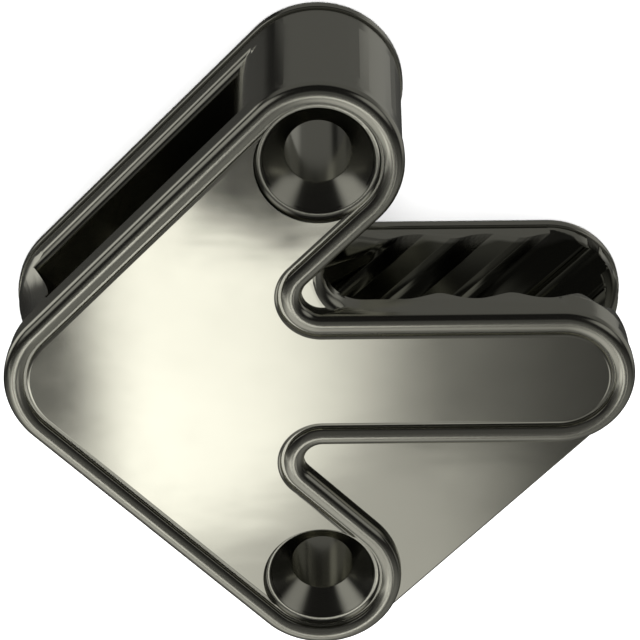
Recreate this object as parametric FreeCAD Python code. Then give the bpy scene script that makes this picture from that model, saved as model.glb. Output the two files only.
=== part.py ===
import FreeCAD, Part
import math
import os

os.makedirs("parts", exist_ok=True)
V = FreeCAD.Vector

# sizes (mm)
# The cleat lies on its flat back: back face z = 0, front towards +Z, origin
# half way between the two screw holes, open end of the groove towards +X.
length = 54.26            # overall, from the left lobe to the end of the prong
hole_spacing = 40.3       # between the two screw holes
panel_z = 17.0            # flat front panel above the back face
bead_rise = 0.3           # bead crest above the panel
panel_drop = 0.3          # narrow groove between panel and bead
web_drop = 0.9            # web and rope lead-in behind the panel
rim_drop = 1.3            # underside of the front rim behind the panel
flange_t = 1.0            # rear rim

# lobes of the outline, radii measured at the panel's edge
left_reach = 27.2         # from the origin to the left end of the rear rim
left_r = 5.45
lobe_r = 5.03             # round the screw holes
prong_r = 4.36
notch_lean = 45.0         # how far the notch's side leans from upright
notch_r = 3.67            # corner of the panel in both notches
lead_r = 5.1              # wider corner of the body behind the upper notch

bead_in = 0.35            # panel edge to the bead
bead_out = 2.0            # panel edge to the outside of the bead
wall_off = 1.85           # side walls stand a little inside the front rim
wall_rear_off = 2.15      # and widen a little towards the back, as a casting does
flange_off = 2.35         # rear rim
bead_round = 0.85         # outside of the bead
bead_slope_run, bead_slope_drop = 0.6, 0.2   # its gentle inner slope
panel_bevel = 0.12

bore_r = 2.75             # clearance for an M5 screw
sink_r = 4.7              # 90 degree seat for a countersunk head
step_r = 5.12             # shallow step above the seat
step_depth = 0.7
step_lip = 0.11

rear_cheek, front_cheek = 3.6, 3.0   # walls behind and in front of the rope passage
slot_start = -1.1         # the slot ends just inside the left lobe
slot_end_lean = 3.3       # and its end leans this much towards the front
slot_depth = 9.4
knee_x = -12.3            # where the sloping end of the passage meets its floor
passage_round = 5.0
slot_round = 2.8          # where the walls of the passage meet the front cheek
slot_edge_round = 0.8     # rear edge, where the rope leaves
floor_y = -3.2            # floor of the passage and of the groove

mouth_front, mouth_rear = 3.45, 2.6  # cheeks at the groove's mouth
floor_gap = 2.2           # width left at the groove's floor
groove_start_x = 6.7
tooth_pitch = 6.1
tooth_rise = 1.42
crest_round, valley_round = 0.6, 1.4
tooth_lean = 1.3          # sideways run for each mm of depth
front_crest_x, rear_crest_x = 10.15, 11.95
front_tooth_run, rear_tooth_run = 3.2, 4.5   # gentle side, the rest is the steep side

waist_z, waist_depth = 2.6, 1.1      # left lobe is waisted where the rope bears
waist_run = 9.0
lead_round = 1.1          # rounded rope edge in the upper notch
end_flare = 1.2           # rounded-off cheeks at the open end of the groove
flare_stretch = 1.3       # height of that rounding over its width

clear = 4.0               # how far cutting shapes stand outside the body
mouth_clear = 0.2         # and the teeth's, above the groove's mouth

# worked out
half_turn = 180
left_x = left_reach - left_r - flange_off
prong_x = length - left_reach - prong_r - flange_off
hole_y = hole_spacing / 2
crest_z = panel_z + bead_rise
panel_base = panel_z - panel_drop
web_z = panel_z - web_drop
rim_z = panel_z - rim_drop
passage_z0, passage_z1 = rear_cheek, panel_z - front_cheek
mouth_z = {1: panel_z - mouth_front, -1: mouth_rear}
groove_z = (mouth_z[1] + mouth_z[-1]) / 2
mouth_y = prong_r + wall_off
prong_end = prong_x + prong_r + flange_off
slope = ((mouth_z[1] - mouth_z[-1]) - floor_gap) / 2 / (mouth_y - floor_y)
AXIS = V(0, 0, 1)


# helpers
def polar(cx, cy, r, deg, z):
    a = math.radians(deg)
    return V(cx + r * math.cos(a), cy + r * math.sin(a), z)


def arc3(p, m, q):
    return Part.Arc(p, m, q).toShape()


def arc(cx, cy, r, a0, a1, z):
    return arc3(polar(cx, cy, r, a0, z), polar(cx, cy, r, (a0 + a1) / 2, z), polar(cx, cy, r, a1, z))


def tangent(c0, r0, c1, r1):
    """direction of the outward normal where a straight side joins two lobes"""
    dx, dy = c1[0] - c0[0], c1[1] - c0[1]
    return math.degrees(math.atan2(dy, dx)) + 90 - math.degrees(
        math.asin((r0 - r1) / math.hypot(dx, dy)))


def notch_centre(corner_r):
    """centre of the rounded corner between a screw lobe and the prong"""
    nx, ny = math.cos(math.radians(notch_lean)), -math.sin(math.radians(notch_lean))
    cy = prong_r + corner_r
    return (ny * hole_y + lobe_r + corner_r - ny * cy) / nx, cy


def outline(off, z, corner_r, web=True):
    """closed wire, clockwise from the left lobe, offset outwards from the panel's edge"""
    rl, rt, rp = left_r + off, lobe_r + off, prong_r + off
    n_up = tangent((-left_x, 0), rl, (0, hole_y), rt)
    ux, uy = notch_centre(corner_r)
    ur = corner_r - off
    edges = [arc(-left_x, 0, rl, 360 - n_up, n_up, z),
             Part.makeLine(polar(-left_x, 0, rl, n_up, z), polar(0, hole_y, rt, n_up, z)),
             arc(0, hole_y, rt, n_up, -notch_lean, z),
             Part.makeLine(polar(0, hole_y, rt, -notch_lean, z),
                           polar(ux, uy, ur, half_turn - notch_lean, z)),
             arc(ux, uy, ur, half_turn - notch_lean, 270, z),
             Part.makeLine(polar(ux, uy, ur, 270, z), polar(prong_x, 0, rp, 90, z))]
    if web:
        n_web = tangent((prong_x, 0), rp, (0, -hole_y), rt)
        edges += [arc(prong_x, 0, rp, 90, n_web, z),
                  Part.makeLine(polar(prong_x, 0, rp, n_web, z), polar(0, -hole_y, rt, n_web, z)),
                  arc(0, -hole_y, rt, n_web, -n_up, z)]
    else:
        lx, ly = notch_centre(notch_r)
        lr = notch_r - off
        edges += [arc(prong_x, 0, rp, 90, -90, z),
                  Part.makeLine(polar(prong_x, 0, rp, -90, z), polar(lx, -ly, lr, 90, z)),
                  arc(lx, -ly, lr, 90, half_turn + notch_lean, z),
                  Part.makeLine(polar(lx, -ly, lr, half_turn + notch_lean, z),
                                polar(0, -hole_y, rt, notch_lean, z)),
                  arc(0, -hole_y, rt, notch_lean, -n_up, z)]
    edges.append(Part.makeLine(polar(0, -hole_y, rt, -n_up, z), polar(-left_x, 0, rl, -n_up, z)))
    return Part.Wire(edges)


def slab(off, z0, z1, corner_r, web=True):
    return Part.Face(outline(off, z0, corner_r, web)).extrude(V(0, 0, z1 - z0))


def middle(edge):
    return edge.valueAt((edge.FirstParameter + edge.LastParameter) / 2)


def edges_at(shape, z):
    return [e for e in shape.Edges
            if abs(e.BoundBox.ZMin - z) < 1e-4 and abs(e.BoundBox.ZMax - z) < 1e-4]


def field_edges(shape, z, off):
    """edges of the raised field that lie on the outline with this offset"""
    ring = outline(off, z, notch_r, False)
    return [e for e in edges_at(shape, z) if ring.distToShape(Part.Vertex(middle(e)))[0] < 1e-4]


def turned(steps, cx, cy):
    """solid turned about an upright axis; each step is a line or an arc in (radius, z)"""
    edges = []
    for step in steps:
        p = [V(cx + r, cy, z) for r, z in step]
        edges.append(Part.makeLine(*p) if len(p) == 2 else arc3(*p))
    return Part.Face(Part.Wire(edges)).revolve(V(cx, cy, 0), AXIS, 360)


def rounded(p, corner, q, r):
    """start, middle and end of an arc that rounds a corner"""
    a, b = (p - corner).normalize(), (q - corner).normalize()
    half = a.getAngle(b) / 2
    t = r / math.tan(half)
    return corner + a * t, corner + (a + b).normalize() * (r / math.sin(half) - r), corner + b * t


# body
walls = Part.makeLoft([outline(wall_rear_off, 0, lead_r), outline(wall_off, web_z, lead_r)], True, True)
flange = slab(flange_off, 0, flange_t, lead_r)
rim = slab(bead_out, rim_z, web_z, lead_r)

# raised front
# A raised field carries a rounded bead all round it. The flat panel lies
# inside the bead, parted from it by a narrow groove.
field = slab(bead_out, rim_z, crest_z, notch_r, web=False)
field = field.cut(slab(bead_in, panel_base, crest_z + clear, notch_r, web=False))
field = field.makeFillet(bead_round, field_edges(field, crest_z, bead_out))
inner_edges = field_edges(field, crest_z, bead_in)
field = field.makeChamfer(bead_slope_run, bead_slope_drop, inner_edges)
panel = slab(0, panel_base, panel_z, notch_r, web=False)
panel = panel.makeChamfer(panel_bevel, edges_at(panel, panel_z))
body = walls.fuse([flange, rim, field, panel])

# rope passage
# A hollow between the cheeks joins the slot in the upper left side with the
# groove; the boss of the upper screw hole crosses it.
n_up = tangent((-left_x, 0), left_r, (0, hole_y), lobe_r)
out = polar(0, 0, 1, n_up, 0)
along = V(out.y, -out.x, 0)
if along.x < 0:
    along = along * -1
wall_r = left_r + wall_rear_off
slot_end = V(-left_x, 0, 0) + out * wall_r + along * slot_start
back = slot_end - out * slot_depth
ramp_x = groove_start_x - tooth_lean * (mouth_y - floor_y)
top_y = mouth_y + lead_r
base = V(0, 0, passage_z0)
a0, a1, a2 = rounded(slot_end, back, V(knee_x, floor_y, 0), passage_round)
b0, b1, b2 = rounded(back, V(knee_x, floor_y, 0), V(ramp_x, floor_y, 0), passage_round)
path = [base + p for p in (slot_end + out * clear, a0, a1, a2, b0, b1, b2, V(ramp_x, floor_y, 0))]
walls_of_passage = [Part.makeLine(path[0], path[1]), arc3(path[1], path[2], path[3]),
                    Part.makeLine(path[3], path[4]), arc3(path[4], path[5], path[6]),
                    Part.makeLine(path[6], path[7])]
open_side = [path[7], base + V(groove_start_x + tooth_lean * (top_y - mouth_y), top_y, 0),
             base + V(0, hole_y, 0), base + V(0, hole_y, 0) + out * (wall_r + clear), path[0]]
sides = [Part.makeLine(p, q) for p, q in zip(open_side[:-1], open_side[1:])]
passage = Part.Face(Part.Wire(walls_of_passage + sides)).extrude(V(0, 0, passage_z1 - passage_z0))
lift = AXIS * (passage_z1 - passage_z0)
front_corner = [e for e in edges_at(passage, passage_z1)
                if any(w.distToShape(Part.Vertex(middle(e) - lift))[0] < 1e-4 for w in walls_of_passage)]
passage = passage.makeFillet(slot_round, front_corner)


def at_slot_end(run, z):
    """a point well outside the side wall, this far along it from the slot's leaning end"""
    lean = slot_end_lean * (z - passage_z0) / (passage_z1 - passage_z0)
    return slot_end + out * clear + along * (run + lean) + AXIS * z


post = Part.Face(Part.makePolygon([at_slot_end(0, 0), at_slot_end(0, panel_z), at_slot_end(-left_r, panel_z),
                                   at_slot_end(-left_r, 0), at_slot_end(0, 0)]))
post = post.extrude(out * -(slot_depth + 2 * clear))
passage = passage.cut(post)
boss = Part.makeCone(lobe_r + wall_rear_off, lobe_r + wall_off, web_z, V(0, hole_y, 0), AXIS)
body = body.cut(passage.cut(boss))

# rounded rear edge of the slot, where the rope leaves
face_off = wall_rear_off + (wall_off - wall_rear_off) * passage_z0 / web_z
corner = V(-left_x, 0, 0) + out * (left_r + face_off) + along * (slot_start - slot_edge_round) + base
r = slot_edge_round
k = r * (1 - math.sqrt(0.5))
p, m, q = corner - AXIS * r, corner - out * k - AXIS * k, corner - out * r
outer = [q + AXIS * r, corner + out * r + AXIS * r, corner + out * r - AXIS * r]
loop = [arc3(p, m, q)] + [Part.makeLine(s, t) for s, t in zip([q] + outer, outer + [p])]
worn = Part.Face(Part.Wire(loop)).extrude(along * (math.hypot(left_x, hole_y) - slot_start))
body = body.cut(worn.cut(boss).cut(post))

# waist of the left lobe
# The side wall is hollowed round the left lobe. Along both sides the hollow
# grows shallower and runs out.
top_r = left_r + wall_off
zm = (waist_z + passage_z1) / 2
low_p, mid_p, high_p = (wall_r, waist_z), ((wall_r + top_r) / 2 - waist_depth, zm), (top_r, passage_z1)
hollow = [(low_p, mid_p, high_p), (high_p, (wall_r + clear, passage_z1)),
          ((wall_r + clear, passage_z1), (wall_r + clear, waist_z)), ((wall_r + clear, waist_z), low_p)]


def at_lobe(points, direction):
    base_edges = []
    for step in points:
        p = [V(-left_x, 0, z) + direction * r for r, z in step]
        base_edges.append(Part.makeLine(*p) if len(p) == 2 else arc3(*p))
    return Part.Face(Part.Wire(base_edges))


down = V(out.x, -out.y, 0)
down_along = V(along.x, -along.y, 0)
waist = at_lobe(hollow, out).revolve(V(-left_x, 0, 0), AXIS, 2 * (180 - n_up))
body = body.cut(waist.fuse([at_lobe(hollow, out).extrude(along * waist_run + out * waist_depth),
                            at_lobe(hollow, down).extrude(down_along * waist_run + down * waist_depth)]))


# toothed groove
def half_groove(side, crest_x, gentle_run):
    """one side of the vee: a row of rounded teeth carried along a sloping line"""
    y0 = prong_r + flange_off + mouth_clear
    above = y0 - mouth_y
    last_x = prong_end + tooth_lean * (y0 - floor_y) + tooth_pitch
    wave_z = mouth_z[side] + side * slope * above
    crest, valley = wave_z - side * tooth_rise / 2, wave_z + side * tooth_rise / 2
    run = V(-tooth_lean, -1, -side * slope).normalize()

    def square(p):
        return p - run * p.dot(run)

    x = crest_x + tooth_lean * above
    while x > groove_start_x - 2 * tooth_pitch:
        x -= tooth_pitch
    corners = []
    while x < last_x:
        corners += [square(V(x, y0, crest)), square(V(x + tooth_pitch - gentle_run, y0, valley))]
        x += tooth_pitch
    edges, last = [], corners[0]
    for i in range(1, len(corners) - 1):
        r = valley_round if i % 2 else crest_round
        p, m, q = rounded(corners[i - 1], corners[i], corners[i + 1], r)
        edges += [Part.makeLine(last, p), arc3(p, m, q)]
        last = q
    far = square(V(0, 0, -side * panel_z))
    ends = [last, corners[-1], corners[-1] + far, corners[0] + far, corners[0]]
    edges += [Part.makeLine(p, q) for p, q in zip(ends[:-1], ends[1:])]
    section = Part.Face(Part.Wire(edges))
    section.translate(run * -2 * prong_end)
    tool = section.extrude(run * 4 * prong_end)
    start = ramp_x - tooth_rise
    z0 = groove_z if side > 0 else 0
    box = Part.makeBox(prong_end + clear - start, y0 - floor_y, groove_z if side < 0 else panel_z - groove_z,
                       V(start, floor_y, z0))
    return tool.common(box)


body = body.cut(half_groove(1, front_crest_x, front_tooth_run))
body = body.cut(half_groove(-1, rear_crest_x, rear_tooth_run))

# cheeks rounded off where the rope leaves the groove; the rounding fades out
# towards the mouth because its centre stands off by its own depth
for side in (1, -1):
    r1 = mouth_y
    r0 = mouth_y - end_flare
    z1 = mouth_z[side]
    tall = side * flare_stretch * end_flare
    z0 = z1 - tall
    zf = groove_z
    k = 1 - math.sqrt(0.5)
    bulge = (r1 - k * (r1 - r0), z0 + k * tall)
    ring = turned([[(r0, zf), (r1 + clear, zf)], [(r1 + clear, zf), (r1 + clear, z1)],
                   [(r1 + clear, z1), (r1, z1)], [(r1, z1), bulge, (r0, z0)], [(r0, z0), (r0, zf)]],
                  prong_x, end_flare)
    half = Part.makeBox(r1 + 2 * clear, r1 + end_flare - floor_y, panel_z, V(prong_x, floor_y, 0))
    body = body.cut(ring.common(half))

# rope lead-in
lx, ly = notch_centre(lead_r)
r0 = lead_r - bead_out
r1 = r0 + lead_round
k = lead_round * (1 - math.sqrt(0.5))
z0 = web_z - lead_round
above = web_z + mouth_clear
flare = turned([[(0, z0), (r0, z0)], [(r0, z0), (r0 + k, web_z - k), (r1, web_z)], [(r1, web_z), (r1, above)],
                [(r1, above), (0, above)], [(0, above), (0, z0)]], lx, ly)
body = body.cut(flare.cut(slab(bead_out, z0 - mouth_clear, above + mouth_clear, notch_r, web=False)))

# screw holes
seat_z = panel_z - step_depth
cone_z = seat_z - (sink_r - bore_r)
lip_r = step_r + step_lip
profile = [(0, -clear), (bore_r, -clear), (bore_r, cone_z), (sink_r, seat_z), (step_r, seat_z),
           (step_r, panel_z - step_lip), (lip_r, panel_z), (lip_r, crest_z + clear), (0, crest_z + clear)]
for sign in (1, -1):
    body = body.cut(turned(list(zip(profile, profile[1:] + profile[:1])), 0, sign * hole_y))

body = body.removeSplitter()
cleat = body.Solids[0]
print("solids", len(body.Solids), "valid", cleat.isValid(), "volume", round(cleat.Volume, 1))
cleat.exportStep("parts/cleat.step")
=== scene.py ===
import bmesh
import bpy
import math
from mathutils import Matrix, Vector


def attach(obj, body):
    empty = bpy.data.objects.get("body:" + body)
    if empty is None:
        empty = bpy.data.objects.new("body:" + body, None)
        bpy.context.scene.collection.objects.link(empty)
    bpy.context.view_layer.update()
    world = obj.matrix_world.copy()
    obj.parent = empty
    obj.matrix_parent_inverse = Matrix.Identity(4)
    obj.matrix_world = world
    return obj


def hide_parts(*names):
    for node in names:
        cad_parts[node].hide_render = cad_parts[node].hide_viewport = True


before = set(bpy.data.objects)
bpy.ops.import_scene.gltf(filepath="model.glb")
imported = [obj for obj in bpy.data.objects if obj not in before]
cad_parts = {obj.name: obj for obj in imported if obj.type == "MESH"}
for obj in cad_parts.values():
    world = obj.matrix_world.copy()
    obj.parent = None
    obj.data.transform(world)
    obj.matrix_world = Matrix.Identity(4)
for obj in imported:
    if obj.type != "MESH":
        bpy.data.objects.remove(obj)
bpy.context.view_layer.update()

# Body of the casting, light alloy, cast in one. Everything behind its raised front
# is taken from the solid: side walls, rear rim, web, rope passage, toothed groove.
# The outer edges are broken, as polishing on a mop leaves them.
mm = 0.001
web_z = 16.1 * mm          # front of the flat web in the lower notch
flange_z = 1.0 * mm        # front of the rear rim
back_z = 0
cut_above_web = 0.01 * mm
edge_break = 0.14 * mm
web_edge_break = 0.2 * mm
same_point = 0.0005 * mm   # points of the mesh closer than this are merged
same_level = 0.002 * mm
flat_within = math.radians(0.4)
sharp_from = math.radians(30)
smooth_within = math.radians(26)


def pick_edges(wanted):
    """in edit mode, selects only the edges that are wanted"""
    net = bmesh.from_edit_mesh(bpy.context.edit_object.data)
    bpy.ops.mesh.select_mode(type="EDGE")
    bpy.ops.mesh.select_all(action="DESELECT")
    for edge in net.edges:
        if wanted(edge):
            edge.select_set(True)
    net.select_flush_mode()
    bmesh.update_edit_mesh(bpy.context.edit_object.data)


def sharp_edge_at(z):
    """test for an outside edge that runs level at this height"""
    def wanted(edge):
        level = all(abs(end.co.z - z) < same_level for end in edge.verts)
        return level and len(edge.link_faces) == 2 and edge.is_convex \
            and edge.calc_face_angle() > sharp_from
    return wanted


def even_shading(piece):
    """smooth shading whose normals follow the large faces"""
    bpy.ops.object.select_all(action="DESELECT")
    piece.select_set(True)
    bpy.context.view_layer.objects.active = piece
    bpy.ops.object.shade_smooth_by_angle(angle=smooth_within)
    weighted = piece.modifiers.new("even_shading", "WEIGHTED_NORMAL")
    weighted.mode = "FACE_AREA"
    weighted.weight = 50
    weighted.keep_sharp = True
    bpy.ops.object.modifier_apply(modifier=weighted.name)


bpy.ops.object.select_all(action="DESELECT")
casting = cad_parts["cleat"].copy()
casting.data = casting.data.copy()
casting.name = casting.data.name = "cleat_body"
casting.data.materials.clear()
bpy.context.scene.collection.objects.link(casting)
casting.select_set(True)
bpy.context.view_layer.objects.active = casting

bpy.ops.object.mode_set(mode="EDIT")
bpy.ops.mesh.select_all(action="SELECT")
bpy.ops.mesh.remove_doubles(threshold=same_point)
bpy.ops.mesh.bisect(plane_co=(0, 0, web_z + cut_above_web), plane_no=(0, 0, 1), clear_outer=True)
pick_edges(lambda edge: edge.is_boundary)
bpy.ops.mesh.fill(use_beauty=False)
bpy.ops.mesh.select_all(action="SELECT")
bpy.ops.mesh.dissolve_limited(angle_limit=flat_within)
for z, width, steps in ((web_z, web_edge_break, 2), (flange_z, edge_break, 3), (back_z, edge_break, 3)):
    pick_edges(sharp_edge_at(z))
    bpy.ops.mesh.bevel(offset=width, segments=steps, affect="EDGES")
bpy.ops.object.mode_set(mode="OBJECT")

# Raised front, part of the same casting: a flat polished panel inside a rounded bead,
# with a narrow groove between them. Its section is drawn once and carried round the
# arrow-shaped outline, turning about the centre of each rounded corner.
panel_z = 17.0 * mm
crest_z = 17.3 * mm
groove_z = 16.7 * mm       # floor of the narrow groove
rim_z = 15.7 * mm          # underside of the front rim
bead_in, bead_out = 0.32 * mm, 2.0 * mm
bead_foot_z = 17.08 * mm   # where the dome of the bead starts
dome_corner = 0.72 * mm
proud = 0.004 * mm         # the bead just covers the rim of the body
panel_support = 0.4 * mm
edge_roll, edge_drop = 0.22 * mm, 0.04 * mm   # polishing rolls the panel's edge over
roll_r, panel_lip_r, groove_r, foot_r = 0.9 * mm, 0.08 * mm, 0.06 * mm, 0.09 * mm
dome_r, bead_outer_r = 1.5 * mm, 0.85 * mm
seam = 0.001 * mm          # gap to close where the section comes round again
notch_lean = 45.0
turn_step = 2.5            # degrees from one section to the next

left_lobe, left_r = Vector((-19.4, 0, 0)) * mm, 5.45 * mm
upper_lobe, lobe_r = Vector((0, 20.15, 0)) * mm, 5.03 * mm
lower_lobe = Vector((0, -20.15, 0)) * mm
prong_end, prong_r = Vector((20.35, 0, 0)) * mm, 4.36 * mm
notch_r = 3.67 * mm


def heading(degrees):
    a = math.radians(degrees)
    return Vector((math.cos(a), math.sin(a), 0))


notch_y = prong_r + notch_r
lean = heading(-notch_lean)
notch_x = (lean.y * upper_lobe.y + lobe_r + notch_r - lean.y * notch_y) / lean.x
upper_notch = Vector((notch_x, notch_y, 0))
lower_notch = Vector((notch_x, -notch_y, 0))
side = upper_lobe - left_lobe
side_heading = math.degrees(math.atan2(side.y, side.x)) + 90 \
    - math.degrees(math.asin((left_r - lobe_r) / side.length))

# centre, radius at the panel's edge, and heading of the side that comes next;
# a notch turns the other way, so its radius counts as negative
corners = [(left_lobe, left_r, side_heading), (upper_lobe, lobe_r, -notch_lean),
           (upper_notch, -notch_r, 90), (prong_end, prong_r, -90),
           (lower_notch, -notch_r, notch_lean), (lower_lobe, lobe_r, -side_heading)]

# distance out from the panel's edge, height, and radius of the corner there
section = [(-panel_support, panel_z, 0), (-edge_roll, panel_z, roll_r),
           (0, panel_z - edge_drop, panel_lip_r), (0, groove_z, groove_r),
           (bead_in, groove_z, groove_r), (bead_in, bead_foot_z, foot_r),
           (dome_corner, crest_z, dome_r),
           (bead_out + proud, crest_z, bead_outer_r), (bead_out + proud, rim_z - proud, 0)]


def rounded_section(section, arc_steps=8):
    """the section's points, each corner replaced by an arc"""
    points = []
    for i, (out, up, radius) in enumerate(section):
        corner = Vector((out, up))
        if not radius:
            points.append(corner)
            continue
        before = (Vector(section[i - 1][:2]) - corner).normalized()
        after = (Vector(section[i + 1][:2]) - corner).normalized()
        half = before.angle(after) / 2
        start = corner + before * radius / math.tan(half)
        centre = corner + (before + after).normalized() * radius / math.sin(half)
        spoke = start - centre
        swing = (corner + after * radius / math.tan(half) - centre).angle_signed(spoke)
        for step in range(arc_steps + 1):
            a = swing * step / arc_steps
            points.append(centre + Vector((spoke.x * math.cos(a) - spoke.y * math.sin(a),
                                           spoke.x * math.sin(a) + spoke.y * math.cos(a))))
    return points


def draw_line(name, points):
    """a new mesh of one open line through the points, left in edit mode, selected"""
    bpy.ops.object.select_all(action="DESELECT")
    bpy.ops.mesh.primitive_plane_add(size=1 * mm, location=points[0])
    piece = bpy.context.active_object
    piece.name = piece.data.name = name
    bpy.ops.object.transform_apply(location=True, rotation=True, scale=True)
    bpy.ops.object.mode_set(mode="EDIT")
    bpy.ops.mesh.select_mode(type="VERT")
    bpy.ops.mesh.select_all(action="SELECT")
    bpy.ops.mesh.merge(type="CENTER")
    for here, there in zip(points, points[1:]):
        bpy.ops.mesh.extrude_vertices_move(TRANSFORM_OT_translate={"value": there - here})
    bpy.ops.mesh.select_all(action="SELECT")
    return piece


def open_edge_at(z):
    """test for an edge of an open end of the swept section at this height"""
    def wanted(edge):
        return edge.is_boundary and all(abs(end.co.z - z) < seam for end in edge.verts)
    return wanted


def add_to_casting(tool, name, operation):
    """joins a closed solid to the casting, or cuts it out, and removes that solid"""
    bpy.ops.object.select_all(action="DESELECT")
    casting.select_set(True)
    bpy.context.view_layer.objects.active = casting
    work = casting.modifiers.new(name, "BOOLEAN")
    work.operation = operation
    work.solver = "EXACT"
    work.object = tool
    bpy.ops.object.modifier_apply(modifier=work.name)
    bpy.data.objects.remove(tool)


first = heading(corners[-1][2])
front_line = [left_lobe + first * (left_r + point.x) + Vector((0, 0, point.y))
              for point in rounded_section(section)]
front = draw_line("raised_front", front_line)
last_heading = corners[-1][2]
for i, (centre, radius, next_heading) in enumerate(corners):
    turn = (last_heading - next_heading) % 360          # clockwise
    if radius < 0:
        turn -= 360
    bpy.ops.mesh.spin(steps=round(abs(turn) / turn_step), angle=math.radians(abs(turn)), center=centre,
                      axis=(0, 0, 1 if turn > 0 else -1))
    next_centre, next_radius, _ = corners[(i + 1) % len(corners)]
    run = next_centre - centre + heading(next_heading) * (next_radius - radius)
    bpy.ops.mesh.extrude_edges_move(TRANSFORM_OT_translate={"value": run})
    last_heading = next_heading
bpy.ops.mesh.select_all(action="SELECT")
bpy.ops.mesh.remove_doubles(threshold=seam)
for z in (panel_z, rim_z - proud):
    pick_edges(open_edge_at(z))
    bpy.ops.mesh.edge_face_add()
bpy.ops.mesh.select_all(action="SELECT")
bpy.ops.mesh.normals_make_consistent(inside=False)
bpy.ops.object.mode_set(mode="OBJECT")
add_to_casting(front, "front", "UNION")

# Screw holes, two, countersunk for M5 screws, bored and faced after casting. Above
# each seat a shallow step takes the rim of the screw's head.
bore_r, sink_r, step_r = 2.75 * mm, 4.7 * mm, 5.12 * mm
seat_z = 16.3 * mm
cone_z = seat_z - (sink_r - bore_r)
lip = 0.11 * mm
throat_round, seat_round, step_round = 0.12 * mm, 0.1 * mm, 0.3 * mm
overrun = 1 * mm           # how far the cutter stands out at both ends
fine_cut = 0.004 * mm      # takes off the coarser skin of the solid
hole_steps = 120
nearly_flat = math.radians(0.05)
hole_section = [(0, -overrun, 0), (bore_r, -overrun, 0), (bore_r, cone_z, throat_round),
                (sink_r, seat_z, seat_round), (step_r, seat_z, step_round),
                (step_r, panel_z - lip, 0), (step_r + lip, panel_z, 0),
                (step_r + lip, crest_z + overrun, 0), (0, crest_z + overrun, 0)]
for lobe in (upper_lobe, lower_lobe):
    hole_line = [lobe + Vector((point.x + (fine_cut if point.x else 0), 0, point.y - fine_cut))
                 for point in rounded_section(hole_section, arc_steps=3)]
    cutter = draw_line("screw_hole", hole_line)
    bpy.ops.mesh.spin(steps=hole_steps, angle=2 * math.pi, center=lobe, axis=(0, 0, 1))
    bpy.ops.mesh.select_all(action="SELECT")
    bpy.ops.mesh.remove_doubles(threshold=same_point)
    bpy.ops.mesh.normals_make_consistent(inside=False)
    bpy.ops.object.mode_set(mode="OBJECT")
    add_to_casting(cutter, "bored", "DIFFERENCE")

bpy.ops.object.mode_set(mode="EDIT")
bpy.ops.mesh.select_all(action="SELECT")
bpy.ops.mesh.remove_doubles(threshold=same_point)
bpy.ops.mesh.dissolve_limited(angle_limit=nearly_flat)
bpy.ops.object.mode_set(mode="OBJECT")
even_shading(casting)


# Polish on the warm light grey alloy. The panel and the web are mopped to a mirror
# with a faint waviness, and the rest keeps the satin of tumbling. The inside of the
# groove gets a painted shade: its base colour is darkened, since that recess lies in shade.
class Value:
    """one socket of a shader, with arithmetic"""
    def __init__(self, tree, socket):
        self.tree, self.socket = tree, socket

    def math(self, operation, *terms):
        return add_node(self.tree, "ShaderNodeMath", {"operation": operation}, dict(enumerate(terms)))

    def __add__(self, other):
        return self.math("ADD", self, other)

    def __radd__(self, other):
        return self.math("ADD", other, self)

    def __sub__(self, other):
        return self.math("SUBTRACT", self, other)

    def __rsub__(self, other):
        return self.math("SUBTRACT", other, self)

    def __mul__(self, other):
        return self.math("MULTIPLY", self, other)

    def __rmul__(self, other):
        return self.math("MULTIPLY", other, self)

    def __truediv__(self, other):
        return self.math("DIVIDE", self, other)


def add_node(tree, kind, settings=None, values=None, outlet=0):
    """adds a node; its settings are set first, then its sockets by name or number"""
    made = tree.nodes.new(kind)
    for name, value in (settings or {}).items():
        setattr(made, name, value)
    for name, value in (values or {}).items():
        if isinstance(value, Value):
            tree.links.new(value.socket, made.inputs[name])
        else:
            made.inputs[name].default_value = value
    return Value(tree, made.outputs[outlet])


def split_up(tree, vector):
    """the three parts of a vector"""
    return [add_node(tree, "ShaderNodeSeparateXYZ", {}, {0: vector}, outlet=i) for i in range(3)]


polished = bpy.data.materials.new("polished_alloy")
polished.use_nodes = True
tree = polished.node_tree
tree.nodes.clear()
place = add_node(tree, "ShaderNodeTexCoord", outlet=3)
place_x, place_y, place_z = split_up(tree, place)


def within(value, low, high, soft):
    """1 between low and high, fading to 0 over the soft margin outside"""
    rise = add_node(tree, "ShaderNodeMapRange", {},
                    {"Value": value, "From Min": low - soft, "From Max": low})
    fall = add_node(tree, "ShaderNodeMapRange", {},
                    {"Value": value, "From Min": high + soft, "From Max": high})
    return rise * fall


band = 0.04 * mm           # a flat counts as mopped this far from its level
mopped_soft, bead_soft = 0.01 * mm, 0.02 * mm
# the second colour is painted shade, the dark given to the inside of the groove
bright_alloy, painted_groove_shade = (0.61, 0.605, 0.54, 1), (0.24, 0.24, 0.2, 1)
grain_stretch = (0.45, 1.2, 1.0)              # the mop draws the waves out sideways
wave_depth = 0.018 * mm
satin, haze_gain, bead_gain, mopped_gain = 0.14, 0.06, 0.03, 0.1
mirror = within(place_z, panel_z - band, panel_z, mopped_soft) \
    + within(place_z, web_z - band, web_z + band, mopped_soft)
bead = within(place_z, panel_z + band, crest_z + band, bead_soft)
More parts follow.
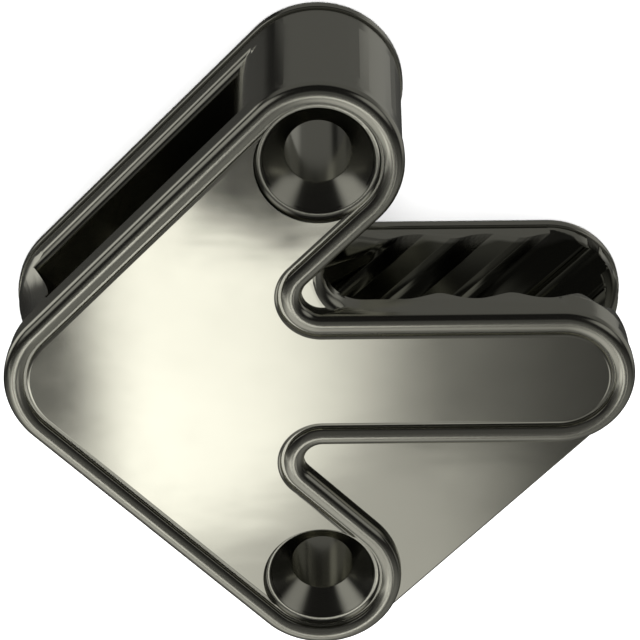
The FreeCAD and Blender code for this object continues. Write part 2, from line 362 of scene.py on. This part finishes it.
# painted shade: a box round the inside of the groove, where the base colour is darkened for the shade in
# that recess; the box also takes in the outside of the prong's end wall
painted_shade_in_groove = within(place_x, -15 * mm, 28 * mm, 1 * mm) * within(place_y, -3.4 * mm, 6.0 * mm, 0.2 * mm) \
    * within(place_z, 2.8 * mm, 13.3 * mm, 0.3 * mm)
drawn_out = add_node(tree, "ShaderNodeVectorMath", {"operation": "MULTIPLY"}, {0: place, 1: grain_stretch})
waves = add_node(tree, "ShaderNodeTexNoise", {}, {"Vector": drawn_out, "Scale": 110.0, "Detail": 2.5})
haze = add_node(tree, "ShaderNodeTexNoise", {}, {"Vector": place, "Scale": 260.0, "Detail": 4.0})
wavy = add_node(tree, "ShaderNodeBump", {}, {"Height": waves, "Distance": wave_depth, "Strength": 1.0})
# base colour with the painted shade of the groove mixed in
alloy_with_painted_shade = add_node(tree, "ShaderNodeMix", {"data_type": "RGBA"},
                 {"Factor": painted_shade_in_groove, 6: bright_alloy, 7: painted_groove_shade}, outlet=2)
roughness = satin + haze_gain * haze + bead_gain * bead - mopped_gain * mirror
surface = add_node(tree, "ShaderNodeBsdfPrincipled", {},
                   {"Base Color": alloy_with_painted_shade, "Metallic": 1.0, "Roughness": roughness, "Normal": wavy})
finish = tree.nodes.new("ShaderNodeOutputMaterial")
tree.links.new(surface.socket, finish.inputs["Surface"])
casting.data.materials.append(polished)

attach(casting, "root")
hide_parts("cleat")

# A sheet of white card, matt, that the cleat lies on. The metal doesn't mirror it,
# so that the dark room shows in the side walls.
card_size, card_z = 4.0, -0.05 * mm
card_white, card_rough = (0.9, 0.9, 0.9, 1), 0.9
bpy.ops.object.select_all(action="DESELECT")
bpy.ops.mesh.primitive_plane_add(size=card_size, location=(0, 0, card_z))
card = bpy.context.active_object
card.name = "white_card"
paper = bpy.data.materials.new("white_card")
paper.use_nodes = True
paper_inputs = paper.node_tree.nodes["Principled BSDF"].inputs
paper_inputs["Base Color"].default_value = card_white
paper_inputs["Roughness"].default_value = card_rough
card.data.materials.append(paper)
card.visible_glossy = False

# Studio, a dark room. A large soft box and a dimmer one hang over the cleat, with six
# soft lamps round it, a dim floor that the side walls mirror, and a dim backdrop.
# The camera itself sees plain white.
room, box_power, glow_power, backdrop_power, ceiling_power = 0.012, 1.45, 0.05, 0.12, 0.06
box_colour = (1.0, 0.99, 0.93, 1)
eye_above, eye_north = 178.0, 102.4           # the camera from the panel's middle, in mm
level_least = 0.02         # keeps the box's marks finite near the horizon
web_start, web_skew = 4.0, 0.7                # the box leans over the web
dip_start, dip_slope = 7.6, 0.45              # and its upper edge slopes beside the hole

# bearing and elevation, degrees of full light and of its edge, and strength
soft_lamps = [(-149, 54, 3, 8, 0.45), (149, 54, 3, 8, 0.4), (-160, 36, 8, 28, 0.34),
              (-60, 22, 7, 25, 0.34), (60, 22, 7, 25, 0.26), (-84, -30, 8, 26, 0.6)]

world = bpy.data.worlds.new("studio")
bpy.context.scene.world = world
world.use_nodes = True
sky = world.node_tree
sky.nodes.clear()
toward = add_node(sky, "ShaderNodeTexCoord", outlet=0)
east, north, up = split_up(sky, toward)


def fade(value, dark, bright):
    """0 at and beyond dark, 1 at and beyond bright, soft in between"""
    return add_node(sky, "ShaderNodeMapRange", {"interpolation_type": "SMOOTHSTEP"},
                    {"Value": value, "From Min": dark, "From Max": bright})


def soft_spot(azimuth, elevation, inner, outer):
    """round soft light; azimuth from the upper screw's side round towards the prong"""
    a, e = math.radians(azimuth), math.radians(elevation)
    facing = (east * (math.sin(a) * math.cos(e)) + north * (math.cos(a) * math.cos(e)) + up * math.sin(e))
    return fade(facing, math.cos(math.radians(outer)), math.cos(math.radians(inner)))


# the soft boxes, marked out in millimetres where the panel mirrors them
height = up.math("MAXIMUM", up, level_least)
across = east / height * eye_above
along = north / height * eye_above + eye_north
past_web = (along + web_start).math("MINIMUM", along + web_start, 0.0)
shifted = across - web_skew * past_web
dip = dip_slope * across.math("MAXIMUM", across + dip_start, 0.0) * fade(across, -0.6, -2.0)
top_edge = fade(along + dip, 15.4, 13.6)
top_edge = top_edge.math("MAXIMUM", top_edge, fade(across, -9.8, -11.2) * fade(along, 21, 18))
wide_box = (0.84 * fade(shifted, 11, -5) + 0.16 * fade(shifted, 26, 2)) * fade(across, -22.2, -15.8) \
    * top_edge * fade(along, -22.5, -12)
dim_box = 0.34 * fade(along, -4, -8) * fade(across, 22, 10) * fade(along, -34, -22)
clouds = add_node(sky, "ShaderNodeTexNoise", {}, {"Vector": toward, "Scale": 22.0, "Detail": 2.0})
soft_box = wide_box.math("MAXIMUM", wide_box, dim_box) * fade(up, 0.3, 0.45) \
    * (0.8 + 0.3 * clouds + 0.15 * fade(across, 5, -15))

# round the cleat, by direction; bearing is in degrees, as the lamps' is
glow = fade(north, 0.0, -0.35) * fade(up, 0.1, 0.4)
backdrop = fade(north, -0.25, -0.75) * fade(up, -0.4, -0.05) * fade(up, 0.8, 0.6)
bearing = east.math("ARCTAN2", east, north) * (180 / math.pi)
stand = fade(bearing, -80, -67) * fade(bearing, -46, -58)
floor = fade(up, 0.1, -0.2) * (0.35 + 0.65 * fade(north, -0.42, -0.2)) * (1 - 0.95 * stand) \
    * (0.045 + 0.05 * fade(bearing, -60, -38) + 0.14 * fade(bearing, 58, 78) * fade(bearing, 125, 108))
lamps = 0.0
for azimuth, elevation, inner, outer, strength in soft_lamps:
    lamps = lamps + soft_spot(azimuth, elevation, inner, outer) * strength
light = room + soft_box * box_power + glow * glow_power + backdrop * backdrop_power + floor + lamps \
    + fade(up, 0.88, 0.96) * ceiling_power
box_light = add_node(sky, "ShaderNodeBackground", {}, {"Color": box_colour, "Strength": light})
plain_light = add_node(sky, "ShaderNodeBackground", {}, {"Color": (1, 1, 1, 1), "Strength": 1.0})
seen = add_node(sky, "ShaderNodeLightPath", outlet=0)
both = add_node(sky, "ShaderNodeMixShader", {}, {0: seen, 1: box_light, 2: plain_light})
out = sky.nodes.new("ShaderNodeOutputWorld")
sky.links.new(both.socket, out.inputs["Surface"])

# a square lamp for the card, out of the camera's sight and not mirrored by the metal
lamp_data = bpy.data.lights.new("card_light", "AREA")
lamp_data.shape = "SQUARE"
lamp_data.size = 0.8
lamp_data.energy = 16
lamp = bpy.data.objects.new("card_light", lamp_data)
bpy.context.scene.collection.objects.link(lamp)
lamp.location = (0, 0, 0.8)
lamp.visible_glossy = False
lamp.visible_camera = False

# Camera, which looks down on the front from the side of the upper screw, about 30
# degrees off the panel's normal and from only 205 mm away.
photo_size = 640
view_tilt = math.radians(29.901)
view_distance = 205.468 * mm
view_focal_px = 2427.88
aim_px = (320.33, 381.95)  # where the panel above the origin appears
view_roll = math.radians(-0.584)

camera_data = bpy.data.cameras.new("photo_camera")
camera_data.sensor_fit = "HORIZONTAL"
camera_data.sensor_width = 36.0
camera_data.lens = camera_data.sensor_width * view_focal_px / photo_size
camera_data.shift_x = (photo_size / 2 - aim_px[0]) / photo_size
camera_data.shift_y = (aim_px[1] - photo_size / 2) / photo_size
camera_data.clip_start = 5 * mm
camera_data.clip_end = 20.0
camera = bpy.data.objects.new("photo_camera", camera_data)
bpy.context.scene.collection.objects.link(camera)
camera.location = (0, view_distance * math.sin(view_tilt), panel_z + view_distance * math.cos(view_tilt))
camera.rotation_euler = (-view_tilt, 0, 0)
camera.rotation_euler.rotate_axis("Z", view_roll)
bpy.context.scene.camera = camera
bpy.context.scene.view_settings.view_transform = "Standard"
